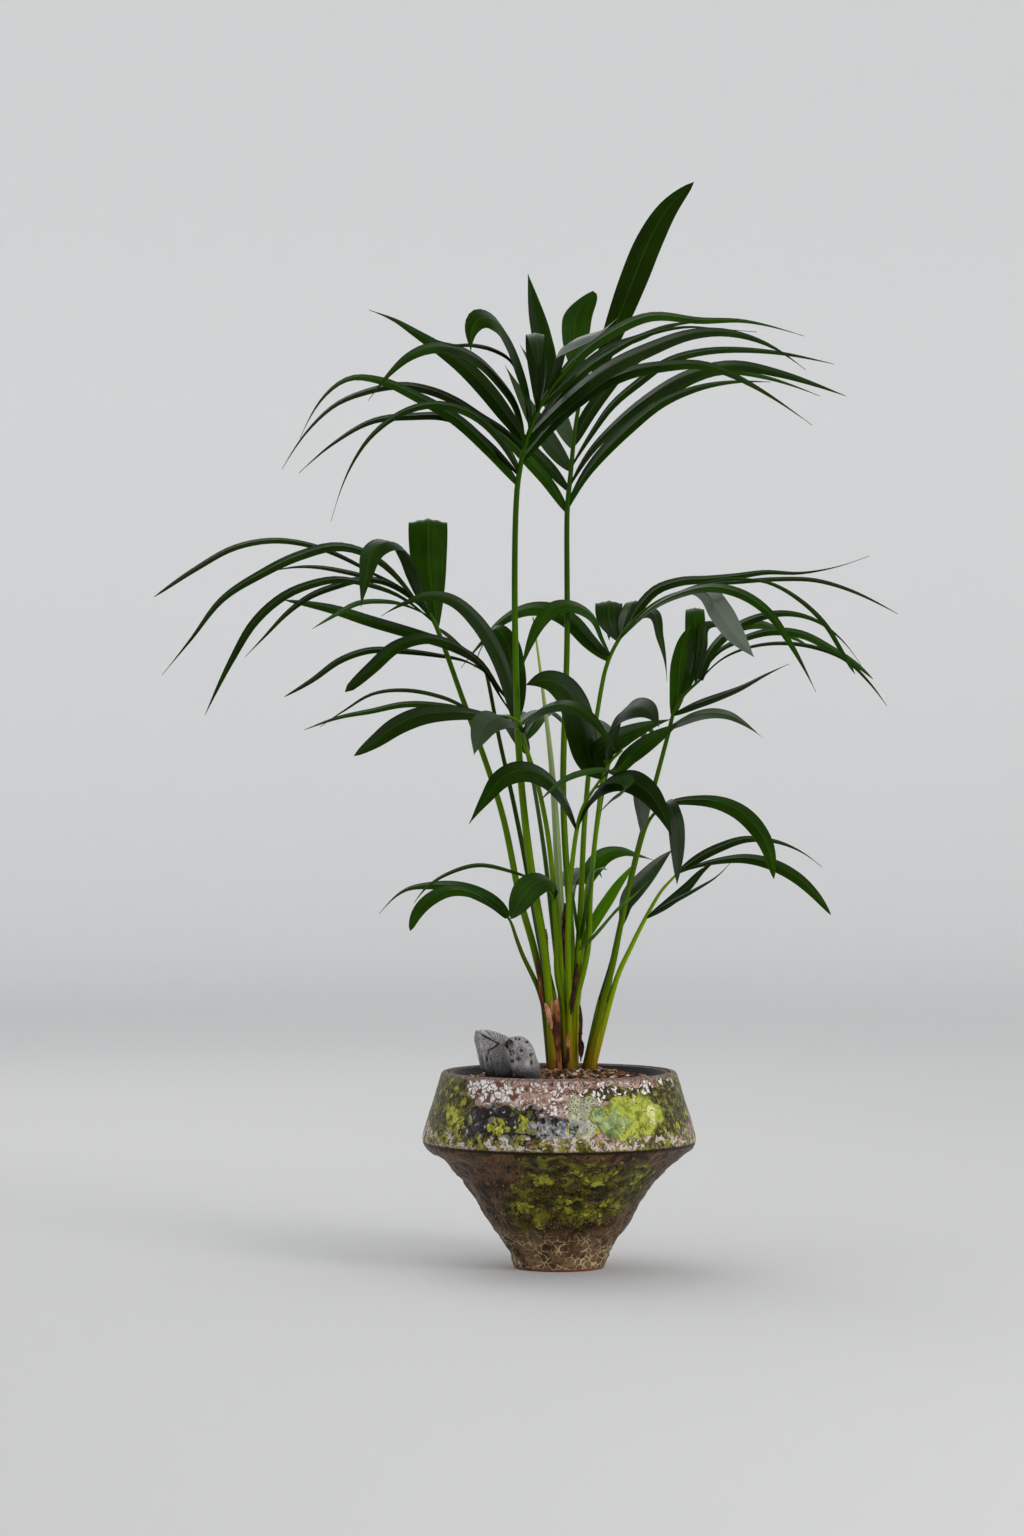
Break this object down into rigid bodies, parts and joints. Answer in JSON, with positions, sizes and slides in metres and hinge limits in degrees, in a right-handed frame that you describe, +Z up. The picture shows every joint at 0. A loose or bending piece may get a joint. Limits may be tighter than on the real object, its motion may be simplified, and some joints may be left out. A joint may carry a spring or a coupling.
{
  "type": "potted kentia palm",
  "caption": "Young feather palm clump with arching leaflets, in a nursery pot set into a low two-cone glazed pot with granules and two stones.",
  "frame": {"origin": "centre of the glazed pot's flat underside, where it stands", "axes": "+Z up along the pot's axis; -Y is the front that the picture shows; +X to the right of it"},
  "size_m": [0.7466, 0.66, 1.0974],
  "materials": {
    "reactive_glaze": "satin",
    "black_plastic": "satin",
    "potting_mix": "matte",
    "clay_granules": "matte",
    "weathered_stone": "matte",
    "leaf_sheath": "matte",
    "palm_leaf": "satin"
  },
  "bodies": {
    "root": {"clay_granules": "clay_granules", "frond_back_left": "palm_leaf", "frond_back_low": "palm_leaf", "frond_back_right": "palm_leaf", "frond_centre_small": "palm_leaf", "frond_front_centre": "palm_leaf", "frond_front_left": "palm_leaf", "frond_front_right": "palm_leaf", "frond_long_left": "palm_leaf", "frond_low_front": "palm_leaf", "frond_low_left": "palm_leaf", "frond_low_right": "palm_leaf", "frond_mid_left": "palm_leaf", "frond_mid_right": "palm_leaf", "frond_right_broad": "palm_leaf", "frond_right_far": "palm_leaf", "frond_right_near": "palm_leaf", "frond_slender_left": "palm_leaf", "frond_tall_left": "palm_leaf", "frond_tall_right": "palm_leaf", "frond_young": "palm_leaf", "glazed_pot": "reactive_glaze", "nursery_pot": "black_plastic", "potting_mix": "potting_mix", "spear_leaf": "palm_leaf", "stem_back": "leaf_sheath", "stem_centre": "leaf_sheath", "stem_left": "leaf_sheath", "stem_right": "leaf_sheath", "stone_round": "weathered_stone", "stone_upright": "weathered_stone"}
  },
  "joints": []
}
